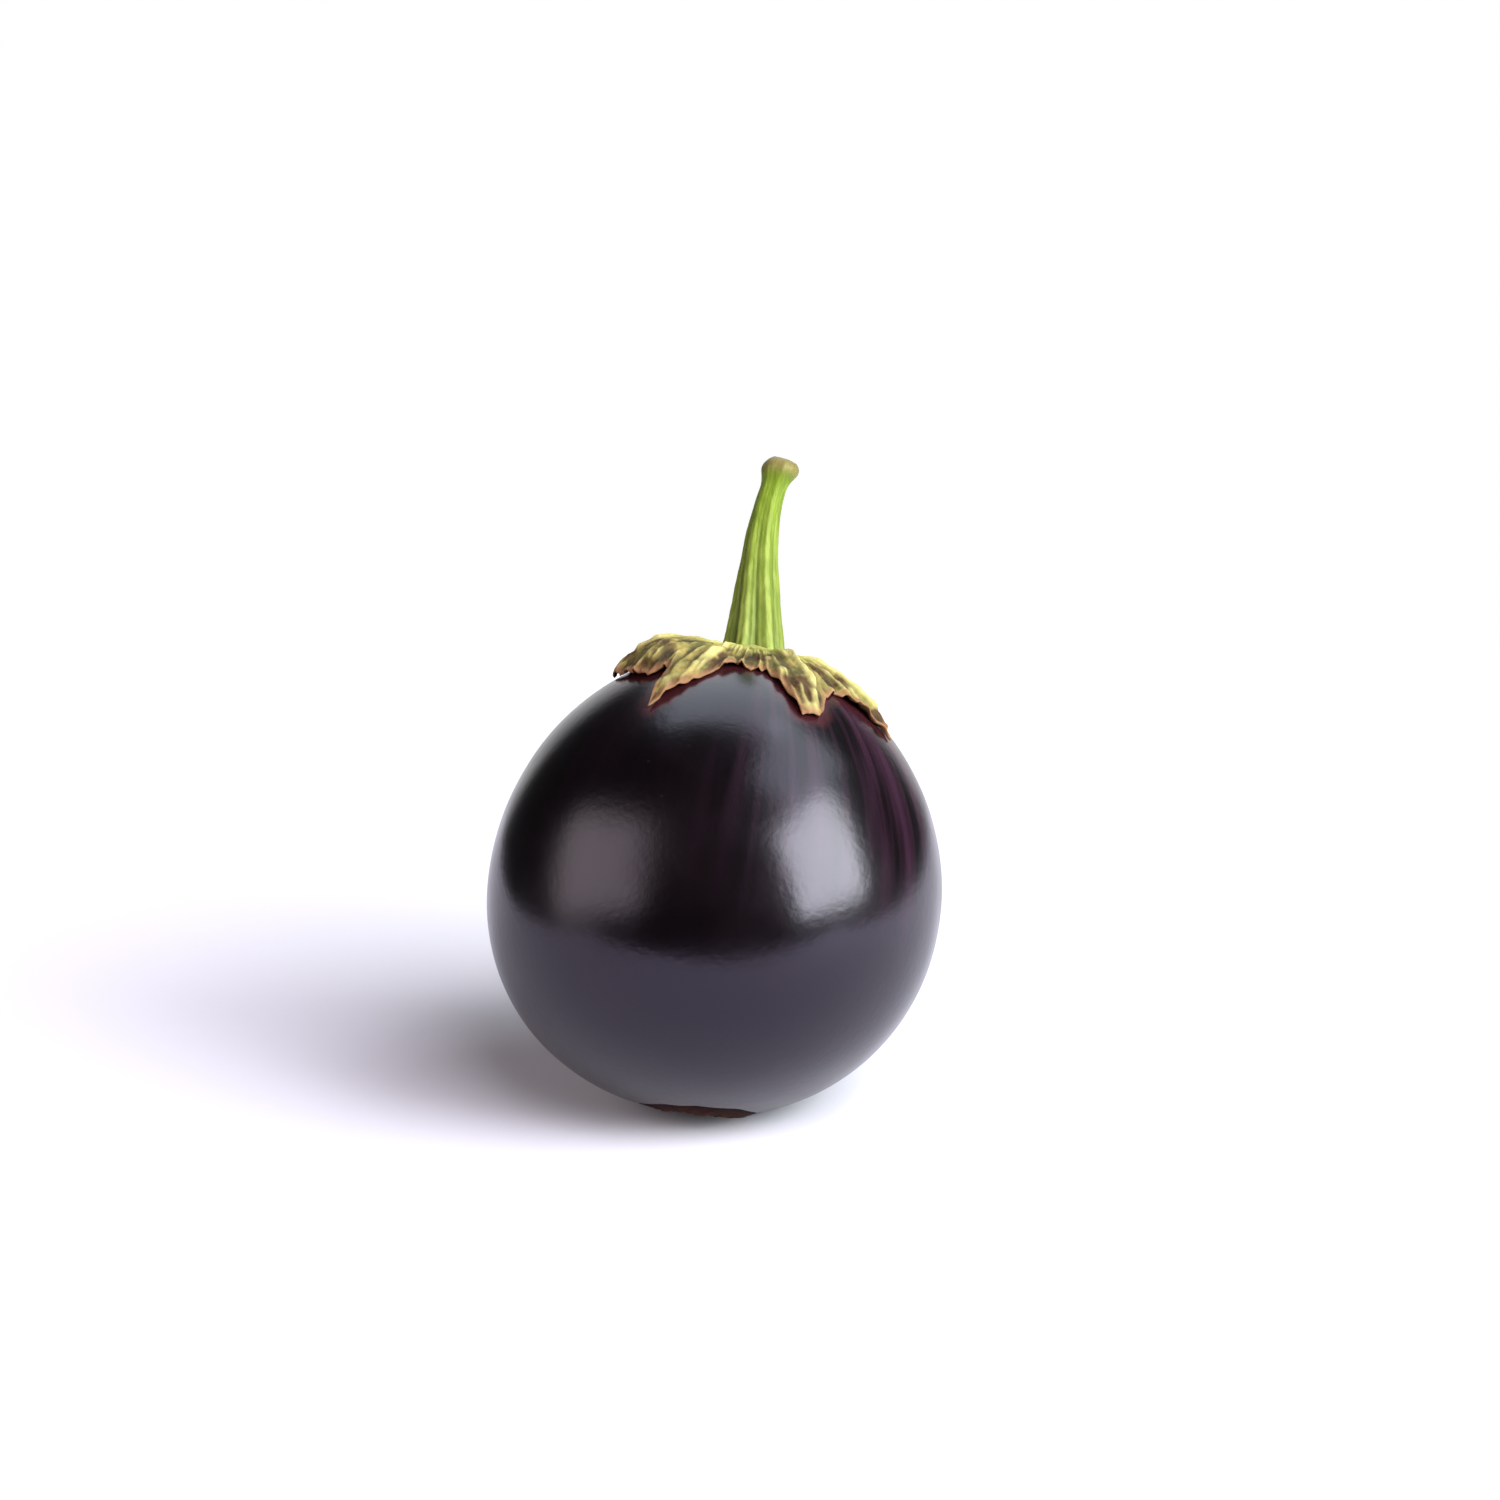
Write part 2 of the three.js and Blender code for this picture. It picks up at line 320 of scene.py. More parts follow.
def fruitGrowth(finish):
    # A cube's fine grid is blown up to a ball, then shaped by the fruit's rule.
    tree, given = startTree("fruitGrowth", fruit)
    cuts = given["cuts"]
    cube = addNode(tree, "GeometryNodeMeshCube",
                   {"Size": (2, 2, 2), "Vertices X": cuts, "Vertices Y": cuts, "Vertices Z": cuts})
    here = addNode(tree, "GeometryNodeInputPosition")
    angles = addNode(tree, vectorNode, {0: here, "Scale": math.pi / 4}, operation="SCALE")
    evened = addNode(tree, vectorNode, {0: angles}, operation="TANGENT")
    outward = addNode(tree, vectorNode, {0: evened}, operation="NORMALIZE")
    marked = addNode(tree, "GeometryNodeStoreNamedAttribute",
                     {"Geometry": cube, "Name": "outward", "Value": outward},
                     data_type="FLOAT_VECTOR", domain="POINT")
    part = addNode(tree, "ShaderNodeSeparateXYZ", {0: outward}).outputs

    slimming = addNode(tree, mathNode, {0: part["Z"], 1: given["taper"]}, operation="MULTIPLY")
    girth = addNode(tree, mathNode, {0: 1, 1: slimming}, operation="SUBTRACT")
    across = addNode(tree, mathNode, {0: girth, 1: given["diameter"]}, operation="MULTIPLY")
    widths = addNode(tree, "ShaderNodeCombineXYZ", {0: across, 1: across, 2: given["length"]})
    twice = addNode(tree, vectorNode, {0: outward, 1: widths}, operation="MULTIPLY")
    body = addNode(tree, vectorNode, {0: twice, "Scale": 0.5}, operation="SCALE")

    facing = addNode(tree, vectorNode, {0: outward, 1: given["bulgeToward"]}, operation="DOT_PRODUCT")
    apart = addNode(tree, mathNode, {0: facing}, operation="ARCCOSINE")
    bulge = addNode(tree, mathNode, {0: addBell(tree, apart, given["bulgeSpread"]), 1: given["bulge"]},
                    operation="MULTIPLY")
    lump = addNode(tree, "ShaderNodeTexNoise",
                   {"Vector": outward, "W": given["seed"], "Scale": given["lumpScale"], "Detail": 1.0},
                   noise_dimensions="4D")
    lumpShare = addNode(tree, mathNode, {0: lump, 1: 0.5}, operation="SUBTRACT")
    lumps = addNode(tree, mathNode, {0: lumpShare, 1: given["lumpHeight"]}, operation="MULTIPLY")
    azimuth = addNode(tree, mathNode, {0: part["Y"], 1: part["X"]}, operation="ARCTAN2")
    turns = addNode(tree, mathNode, {0: azimuth, 1: given["lobes"]}, operation="MULTIPLY")
    wave = addNode(tree, mathNode, {0: turns}, operation="COSINE")
    poleward = addNode(tree, mathNode, {0: part["Z"], 1: part["Z"]}, operation="MULTIPLY")
    belt = addNode(tree, mathNode, {0: 1, 1: poleward}, operation="SUBTRACT")
    lobe = addNode(tree, mathNode, {0: wave, 1: belt}, operation="MULTIPLY")
    lobes = addNode(tree, mathNode, {0: lobe, 1: given["lobeHeight"]}, operation="MULTIPLY")
    uneven = addNode(tree, mathNode, {0: lumps, 1: lobes}, operation="ADD")
    extra = addNode(tree, mathNode, {0: bulge, 1: uneven}, operation="ADD")
    flesh = addNode(tree, vectorNode, {0: outward, "Scale": extra}, operation="SCALE")
    full = addNode(tree, vectorNode, {0: body, 1: flesh}, operation="ADD")

    level = addNode(tree, vectorNode, {0: full, 1: (1, 1, 0)}, operation="MULTIPLY")
    fromAxis = addNode(tree, vectorNode, {0: level}, operation="LENGTH")
    hollow = addNode(tree, mathNode,
                     {0: addBell(tree, fromAxis, given["scarRadius"]), 1: given["scarDepth"]},
                     operation="MULTIPLY")
    below = addNode(tree, mathNode, {0: part["Z"], 1: 0}, operation="LESS_THAN")
    rise = addNode(tree, mathNode, {0: hollow, 1: below}, operation="MULTIPLY")
    lifting = addNode(tree, "ShaderNodeCombineXYZ", {2: rise})
    hollowed = addNode(tree, vectorNode, {0: full, 1: lifting}, operation="ADD")

    leant = addNode(tree, "ShaderNodeVectorRotate", {"Vector": hollowed, "Rotation": given["lean"]},
                    rotation_type="EULER_XYZ")
    stood = addNode(tree, vectorNode, {0: leant, 1: given["centre"]}, operation="ADD")
    spot = addNode(tree, "ShaderNodeSeparateXYZ", {0: stood}).outputs
    pressed = addNode(tree, mathNode, {0: spot["Z"], 1: given["table"], 2: given["footSoftness"]},
                      operation="SMOOTH_MAX")
    placed = addNode(tree, "ShaderNodeCombineXYZ", {0: spot["X"], 1: spot["Y"], 2: pressed})
    metres = addNode(tree, vectorNode, {0: placed, "Scale": millimetre}, operation="SCALE")
    shaped = addNode(tree, "GeometryNodeSetPosition", {"Geometry": marked, "Position": metres})
    return endTree(tree, shaped, finish)


skinLook = {
    "deep": "#040203",
    "plum": "#070305",
    "cloudSize": 11,
    "streak": "#361d2f",
    "streakSpacing": 2.7,  # at the widest
    "streakLength": 30,
    "streakWaver": 0.08,  # how much they waver from pole to pole
    "streakToward": (math.cos(math.radians(-22)), math.sin(math.radians(-22)), 0),
    "bandBesideCalyx": "#2e1014",
    "bandShare": 0.85,
    "bandFrom": 0.1,  # from the calyx's edge
    "bandTo": 2.2,
    "halo": "#120708",
    "haloFrom": 7,  # from the scar's middle
    "haloTo": 12,
    "edgeWander": 3,  # of the band and the halo, in all
    "wanderSize": 2.5,
    "speck": "#221820",
    "speckSpacing": 3.2,
    "sheen": "#eee2ff",  # the bloom on the wax tints what it mirrors
    "peelSize": 0.9,  # fine unevenness of the wax
    "peelHeight": 0.02,
    "roughness": 0.22,
    "ior": 1.46,
}


def skinMaterial():
    # Eggplant skin: a waxy, glossy cuticle over nearly black purple flesh colour. It gives soft
    # mirror-like patches of the lamps, with faint plum streaks that run down from the calyx.
    material, tree = startMaterial("waxyEggplantSkin")
    place = addNode(tree, "ShaderNodeTexCoord").outputs["Object"]
    outward = addNode(tree, "ShaderNodeAttribute", attribute_name="outward").outputs["Vector"]
    fromCalyx, fromScar = (addNode(tree, "ShaderNodeAttribute", attribute_name=name).outputs["Fac"]
                           for name in ("fromCalyx", "fromScar"))

    cloud = addNode(tree, "ShaderNodeTexNoise",
                    {"Vector": place, "Scale": 1000 / skinLook["cloudSize"], "Detail": 3.0})
    clouded = addNode(tree, "ShaderNodeMapRange", {"Value": cloud, "From Min": 0.4, "From Max": 0.7})

    # Streaks: noise that is short round the axis and long from pole to pole, most on one side.
    ring = addNode(tree, vectorNode, {0: outward, 1: (1, 1, 0)}, operation="MULTIPLY")
    girdle = addNode(tree, vectorNode, {0: ring}, operation="NORMALIZE")
    height = addNode(tree, "ShaderNodeSeparateXYZ", {0: outward}).outputs["Z"]
    slow = addNode(tree, mathNode, {0: height, 1: skinLook["streakWaver"]}, operation="MULTIPLY")
    along = addNode(tree, "ShaderNodeCombineXYZ", {2: slow})
    fan = addNode(tree, vectorNode, {0: girdle, 1: along}, operation="ADD")
    crowding = fruit["diameter"] / 2 / skinLook["streakSpacing"]
    line = addNode(tree, "ShaderNodeTexNoise", {"Vector": fan, "Scale": crowding, "Detail": 3.5})
    lined = addNode(tree, "ShaderNodeMapRange", {"Value": line, "From Min": 0.43, "From Max": 0.68})
    facing = addNode(tree, vectorNode, {0: girdle, 1: skinLook["streakToward"]},
                     operation="DOT_PRODUCT")
    sided = addNode(tree, "ShaderNodeMapRange", {"Value": facing, "From Min": 0.15, "From Max": 1,
                                                 "To Min": 0.04, "To Max": 1})
    near = addNode(tree, "ShaderNodeMapRange",
                   {"Value": fromCalyx, "From Min": 0, "From Max": skinLook["streakLength"],
                    "To Min": 1, "To Max": 0})
    reach = addNode(tree, mathNode, {0: near, 1: sided}, operation="MULTIPLY")
    streaks = addNode(tree, mathNode, {0: lined, 1: reach}, operation="MULTIPLY")

    # The skin that the calyx shaded stays redder, and so does the skin round the scar.
    wander = addNode(tree, "ShaderNodeTexNoise",
                     {"Vector": place, "Scale": 1000 / skinLook["wanderSize"], "Detail": 4.0})
    most = skinLook["edgeWander"]
    shift = addNode(tree, mathNode, {0: wander, 1: most, 2: -most / 2}, operation="MULTIPLY_ADD")
    edge = addNode(tree, mathNode, {0: fromCalyx, 1: shift}, operation="ADD")
    banding = addNode(tree, "ShaderNodeMapRange",
                      {"Value": edge, "From Min": skinLook["bandFrom"],
                       "From Max": skinLook["bandTo"], "To Min": skinLook["bandShare"], "To Max": 0},
                      interpolation_type="SMOOTHSTEP")
    rim = addNode(tree, mathNode, {0: fromScar, 1: shift}, operation="ADD")
    haloing = addNode(tree, "ShaderNodeMapRange",
                      {"Value": rim, "From Min": skinLook["haloFrom"],
                       "From Max": skinLook["haloTo"], "To Min": 1, "To Max": 0},
                      interpolation_type="SMOOTHSTEP")

    # Pale pores, about a tenth as wide as they are apart.
    pore = addNode(tree, "ShaderNodeTexVoronoi",
                   {"Vector": place, "Scale": 1000 / skinLook["speckSpacing"]})
    pored = addNode(tree, "ShaderNodeMapRange",
                    {"Value": pore, "From Min": 0.03, "From Max": 0.07, "To Min": 0.35, "To Max": 0})

    layers = [(clouded, skinLook["plum"]), (streaks, skinLook["streak"]),
              (banding, skinLook["bandBesideCalyx"]), (haloing, skinLook["halo"]),
              (pored, skinLook["speck"])]
    smear = addNode(tree, "ShaderNodeMapRange",
                    {"Value": cloud, "From Min": 0.3, "From Max": 0.7,
                     "To Min": skinLook["roughness"] - 0.03, "To Max": skinLook["roughness"] + 0.05})
    peel = addNode(tree, "ShaderNodeTexNoise",
                   {"Vector": place, "Scale": 1000 / skinLook["peelSize"], "Detail": 2.0})
    normal = addNode(tree, "ShaderNodeBump",
                     {"Height": peel, "Distance": skinLook["peelHeight"] * millimetre,
                      "Strength": 1.0})
    endMaterial(tree, skinLook["deep"], layers, smear, normal,
                {"IOR": skinLook["ior"], "Specular Tint": linear(skinLook["sheen"])})
    return material


skin = skinMaterial()
fruitTree = fruitGrowth(skin)
trial = grow("trial", fruitTree, fruit)  # grown at the origin, to see how far its centre has to move
cadLow, cadHigh = (np.array(corner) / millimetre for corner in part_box("fruit"))
ownPoints = pointsOf(trial) / millimetre
ownLow, ownHigh = ownPoints.min(0), ownPoints.max(0)
bpy.data.objects.remove(trial)
centre = (cadLow + cadHigh - ownLow - ownHigh) / 2
centre[2] = cadHigh[2] - ownHigh[2]
fruitPiece = grow("fruitSkin", fruitTree,
                  {**fruit, "centre": [float(x) for x in centre], "table": float(cadLow[2])})
fruitCentre = Vector(centre) * millimetre
radius = fruit["diameter"] / 2


def onSkin(polar, azimuth, turned):
    # The skin's point in a direction from the fruit's centre, in millimetres, and that direction.
    out = turned @ toward(polar, azimuth)
    hit, place, _, _ = fruitPiece.ray_cast(fruitCentre, out)
    return np.array(place) / millimetre, np.array(out)


def skinUnder(polar, azimuth, turned):  # the same, for arrays
    polar, azimuth = np.broadcast_arrays(polar, azimuth)
    found = [onSkin(p, a, turned) for p, a in zip(polar.ravel().tolist(), azimuth.ravel().tolist())]
    return tuple(np.array(side).reshape(*polar.shape, 3) for side in zip(*found))


# How far each point of the skin lies from the calyx's edge and from the scar's middle.
fromCentre = pointsOf(fruitPiece) / millimetre - centre
fromCentre = fromCentre / np.linalg.norm(fromCentre, axis=1)[:, None]
local = fromCentre @ np.array(lean)
polars = np.arccos(np.clip(local[:, 2], -1, 1))
azimuths = np.arctan2(local[:, 1], local[:, 0])
rimAzimuths = np.linspace(-math.pi, math.pi, 900, endpoint=False)
rimPoints = skinUnder(calyxReach(rimAzimuths) / radius, rimAzimuths, lean)[0]
rimTree = kdtree.KDTree(len(rimPoints))
for i, point in enumerate(rimPoints):
    rimTree.insert(point, i)
rimTree.balance()
beyond = polars * radius - calyxReach(azimuths)
fromRim = [rimTree.find(point)[2] for point in pointsOf(fruitPiece) / millimetre]
keepAttribute(fruitPiece, "fromCalyx", np.copysign(fromRim, beyond))
towardScar = -(fromCentre @ np.array(leaning(scar)))[:, 2]
keepAttribute(fruitPiece, "fromScar", np.arccos(np.clip(towardScar, -1, 1)) * radius)
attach(fruitPiece, "root")
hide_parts("fruit")
print("fruit grown:", len(fruitPiece.data.polygons), "faces, centre", [round(x, 2) for x in centre])


# The blossom scar.

corkLook = {
    "dark": "#22110a",
    "pale": "#42271a",
    "rim": "#260f10",
    "split": "#090403",
    "rimFrom": 5.2,  # from the scar's middle
    "rimTo": 6.6,
    "fadeFrom": 6.7,
    "rimWander": 2.4,  # in all
    "mottleSize": 1.1,
    "mottleHeight": 0.2,
    "roughness": 0.75,
    "ior": 1.12,
}


def scarMaterial():
    # Cork: the dry, matt tissue that closes the spot where the flower was, orange-brown and
    # pinkish at its rim, with a nearly black split middle.
    material, tree = startMaterial("blossomScarCork")
    place = addNode(tree, "ShaderNodeTexCoord").outputs["Object"]
    fromMiddle, split = (addNode(tree, "ShaderNodeAttribute", attribute_name=name).outputs["Fac"]
                         for name in ("fromMiddle", "split"))
    mottle = addNode(tree, "ShaderNodeTexNoise",
                     {"Vector": place, "Scale": 1000 / corkLook["mottleSize"], "Detail": 4.0})
    mottled = addNode(tree, "ShaderNodeMapRange", {"Value": mottle, "From Min": 0.4, "From Max": 0.62})
    most = corkLook["rimWander"]
    shift = addNode(tree, mathNode, {0: mottle, 1: most, 2: -most / 2}, operation="MULTIPLY_ADD")
    spot = addNode(tree, mathNode, {0: fromMiddle, 1: shift}, operation="ADD")
    rimming = addNode(tree, "ShaderNodeMapRange",
                      {"Value": spot, "From Min": corkLook["rimFrom"], "From Max": corkLook["rimTo"]})
    fading = addNode(tree, "ShaderNodeMapRange",
                     {"Value": spot, "From Min": corkLook["fadeFrom"], "From Max": scar["radius"]})
    layers = [(mottled, corkLook["pale"]), (rimming, corkLook["rim"]), (fading, skinLook["halo"]),
              (split, corkLook["split"])]
    normal = addNode(tree, "ShaderNodeBump",
                     {"Height": mottle, "Distance": corkLook["mottleHeight"] * millimetre,
                      "Strength": 1.0})
    endMaterial(tree, corkLook["dark"], layers, corkLook["roughness"], normal,
                {"IOR": corkLook["ior"]})
    return material


def scarPiece():
    azimuth = np.arange(scar["aroundSteps"]) * 2 * math.pi / scar["aroundSteps"]
    x, y = np.cos(azimuth), np.sin(azimuth)
    reach = scar["radius"] * (1 + 0.1 * noiseAt(2 * x, 2 * y, 4.4))
    share = np.linspace(0.01, 1, scar["outSteps"])[:, None]
    arc = share * reach
    points, ways = skinUnder(math.pi - arc / radius, azimuth, leaning(scar))
    ring = np.exp(-((arc - scar["ringAt"]) / scar["ringWidth"]) ** 2) * scar["ringHeight"]
    ring = ring * (0.8 + 0.6 * noiseAt(3 * x, 3 * y, 1.5))
    size = scar["corkSize"]
    cork = scar["corkHeight"] * noiseAt(arc * x / size, arc * y / size, 6.1) * (1 - share ** 4)
    spikes = np.abs(np.cos(scar["starPoints"] * azimuth / 2)) ** 3
    star = scar["starReach"] * (scar["starWaist"] + (1 - scar["starWaist"]) * spikes)
    star = star * (1 + 0.3 * noiseAt(4 * x, 4 * y, 9.2))
    split = np.clip((star - arc) / scar["splitSlope"], 0, 1)
    height = scar["filmHeight"] + ring + cork + scar["domeHeight"] * (1 - share)
    height = height * (1 - scar["splitDepth"] * split)
    pressed = np.clip((points[..., 2] - cadLow[2]) / scar["pressedUnder"], 0, 1)
    height = 0.01 + np.maximum(0.02, height) * np.sqrt(1 - share ** 6) * pressed
    lift = np.where(share < 1, 0.005, height)
    return addShell("blossomScar", points + ways * height[..., None], points + ways * lift[..., None],
                    False, {"fromMiddle": arc, "split": split}, scarMaterial())


scarPatch = scarPiece()
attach(scarPatch, "root")
print("scar laid:", len(scarPatch.data.polygons), "faces")


# The calyx.

sepalLook = {
    "olive": "#413b1b",
    "paleOlive": "#7f6f3c",
    "brown": "#3a2510",
    "besideStem": "#9f9a54",
    # painted highlight: pale colour laid on the ridge tops, by the relief's height
    "paintedRidgeHighlight": "#b2a56c",
    # painted shade: nearly black colour laid in the troughs, where shade falls
    "paintedTroughShade": "#21160a",
    "edge": "#765139",
    "greenTo": 10,  # from the stem's axis
    "edgeWidth": 1.1,
    "mottleSize": 3,
    "patchSize": 5,
    "veinSize": 0.7,
    "veinHeight": 0.2,
    "roughness": 0.75,
    "ior": 1.35,
}


def calyxMaterial():
    # Dried sepals: thin, papery leaf tissue, yellowish near the stem and olive to brown further
    # out. It is dull, with a warm rim where it is thinnest; a painted highlight makes its ridges pale and
    # painted shade makes its troughs nearly black.
    material, tree = startMaterial("driedSepal")
    place = addNode(tree, "ShaderNodeTexCoord").outputs["Object"]
    fromEdge, fromStem, relief = (
        addNode(tree, "ShaderNodeAttribute", attribute_name=name).outputs["Fac"]
        for name in ("fromEdge", "fromStem", "relief"))
    mottle = addNode(tree, "ShaderNodeTexNoise",
                     {"Vector": place, "Scale": 1000 / sepalLook["mottleSize"], "Detail": 5.0})
    mottled = addNode(tree, "ShaderNodeMapRange",
                      {"Value": mottle, "From Min": 0.38, "From Max": 0.62})
    patch = addNode(tree, "ShaderNodeTexNoise",
                    {"Vector": place, "Scale": 1000 / sepalLook["patchSize"], "Detail": 4.0,
                     "Roughness": 0.6})
    outer = addNode(tree, "ShaderNodeMapRange", {"Value": fromStem, "From Min": 7, "From Max": 20,
                                                 "To Min": -0.1, "To Max": 0.1})
    dryness = addNode(tree, mathNode, {0: patch, 1: outer}, operation="ADD")
    dried = addNode(tree, "ShaderNodeMapRange", {"Value": dryness, "From Min": 0.47, "From Max": 0.6})
    green = addNode(tree, "ShaderNodeMapRange",
                    {"Value": fromStem, "From Min": 5.5, "From Max": sepalLook["greenTo"],
                     "To Min": 0.8, "To Max": 0})
    # Painted highlight and painted shade from the relief: pale where the sheet stands highest, nearly
    # black where it sinks.
    paintedRidgeHighlight = addNode(tree, "ShaderNodeMapRange", {"Value": relief, "From Min": 0.3, "From Max": 0.8,
                                                 "To Min": 0, "To Max": 0.75})
    paintedTroughShade = addNode(tree, "ShaderNodeMapRange", {"Value": relief, "From Min": -0.35, "From Max": 0.12,
                                                  "To Min": 0.8, "To Max": 0})
    edge = addNode(tree, "ShaderNodeMapRange",
                   {"Value": fromEdge, "From Min": 0.2, "From Max": sepalLook["edgeWidth"],
                    "To Min": 0.8, "To Max": 0})
    layers = [(mottled, sepalLook["paleOlive"]), (dried, sepalLook["brown"]),
              (green, sepalLook["besideStem"]), (paintedRidgeHighlight, sepalLook["paintedRidgeHighlight"]),
              (paintedTroughShade, sepalLook["paintedTroughShade"]), (edge, sepalLook["edge"])]
    vein = addNode(tree, "ShaderNodeTexNoise",
                   {"Vector": place, "Scale": 1000 / sepalLook["veinSize"], "Detail": 5.0})
    normal = addNode(tree, "ShaderNodeBump",
                     {"Height": vein, "Distance": sepalLook["veinHeight"] * millimetre,
                      "Strength": 1.0})
    endMaterial(tree, sepalLook["olive"], layers, sepalLook["roughness"], normal,
                {"IOR": sepalLook["ior"]})
    return material


def calyxPiece():
    azimuth = np.arange(calyx["aroundSteps"]) * 2 * math.pi / calyx["aroundSteps"]
    x, y = np.cos(azimuth), np.sin(azimuth)
    reach = calyxReach(azimuth)
    slope = (np.roll(reach, -1) - np.roll(reach, 1)) / (azimuth[2] - azimuth[0]) / reach
    hole = calyx["holeRadius"]
    share = 1 - (1 - np.linspace(0, 1, calyx["outSteps"] + 1)[:, None]) ** calyx["rimFineness"]
    arc = hole + share * (reach - hole)
    points, ways = skinUnder(arc / radius, azimuth, lean)
    toEdge = np.maximum(0, reach - arc) / np.hypot(1, slope)
    outness = np.clip((arc - calyx["reliefFrom"]) / calyx["reliefOver"], 0, 1)

    along = np.clip((arc - calyx["archFrom"]) / (reach - calyx["archFrom"]), 0, 1)
    lift = sum(sepalShare(s, azimuth) * s["lift"] for s in sepals)
    lift = lift * np.sin(math.pi * along ** calyx["archPlace"])
    climb = calyx["collarClimb"] * np.exp(-(arc - hole) / calyx["collarSpread"])

    # Midribs, sharp folds that run out from the stem, and crumpling all over.
    ridges = [np.exp(-(turnFrom(s["rib"], azimuth) * arc / calyx["midribWidth"]) ** 2) for s in sepals]
    ridge = np.max(ridges, axis=0) * calyx["midribHeight"] * outness
    ridge = ridge * np.minimum(1, toEdge / calyx["midribFade"])
    many, long = calyx["foldsRound"], calyx["foldLength"]
    fold = 0.75 - 2.5 * np.abs(noiseAt(many * x, many * y, arc / long))
    fold = fold + 0.5 * noiseAt(2.7 * many * x, 2.7 * many * y, 2 * arc / long)
    fold = fold * calyx["foldHeight"] * outness
    size = calyx["crumpleSize"]
    crumple = noiseAt(x * arc / size, y * arc / size, 5.2)
    crumple = crumple + 0.5 * noiseAt(2.1 * x * arc / size, 2.1 * y * arc / size, 1.7)
    relief = ridge + fold + crumple * calyx["crumpleHeight"] * outness
    curling = np.maximum(0, 1 - toEdge / calyx["curlWidth"]) ** 2
    curl = calyx["curlShare"] + calyx["curlUnevenness"] * noiseAt(3.1 * x, 3.1 * y, 2.2)
    curl = np.maximum(0, curl) * curling * calyx["curlHeight"]

    thin = calyx["thickness"] + (calyx["edgeThickness"] - calyx["thickness"]) * along ** 2
    rounding = np.minimum(1, toEdge / calyx["edgeRounding"])
    thickness = thin * np.sqrt(rounding * (2 - rounding))
    middle = calyx["skinGap"] + thin / 2 + lift + curl + climb + np.maximum(-0.1, relief)
    bottom = np.maximum(calyx["skinGap"], middle - thickness / 2 - climb)
    top = np.maximum(middle + thickness / 2, bottom)
    return addShell("driedCalyx", points + ways * top[..., None], points + ways * bottom[..., None],
                    True, {"fromEdge": toEdge, "fromStem": arc, "relief": relief}, calyxMaterial())


sepalCap = calyxPiece()
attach(sepalCap, "root")
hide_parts("calyx")
print("calyx laid:", len(sepalCap.data.polygons), "faces")


# The stem.

stemLength = 26.6
stem = {
    "foot": fruit["length"] / 2 - 0.3,  # height of its foot over the fruit's centre
    "length": stemLength,
    "baseRadius": 4.35,
    "neckRadius": 1.65,
    "flare": 1.7,
    "ribs": 6.0,
    "ribDepth": 0.24,
    "ribTwist": 0.35,
    "knobSwell": 0.85,
    "knobPlace": 1.3,
    "knobSpread": 1.6,
    "edgeRounding": 0.22,
    "fibreDepth": 0.025,
    "fibres": 23.0,
    "cutHollow": 0.35,
    "raggedness": 0.35,
    "lowHandle": (-0.4, -0.1, stemLength / 3),
    "highHandle": (-2.8, -0.8, 2 * stemLength / 3),
    "tip": (0.1, -1.2, stemLength),
    "cutSlant": math.tan(math.radians(-10)),
    "cutOnset": 10.0,  # the higher, the nearer the cut its slant and its edge's rounding start
    "roundingOnset": 60.0,
    "lean": fruit["lean"],
    "centre": tuple(float(x) for x in centre),
    "roundSteps": 132,
    "longSteps": 150,
    "capSteps": 14,
    "seed": 2.0,
}


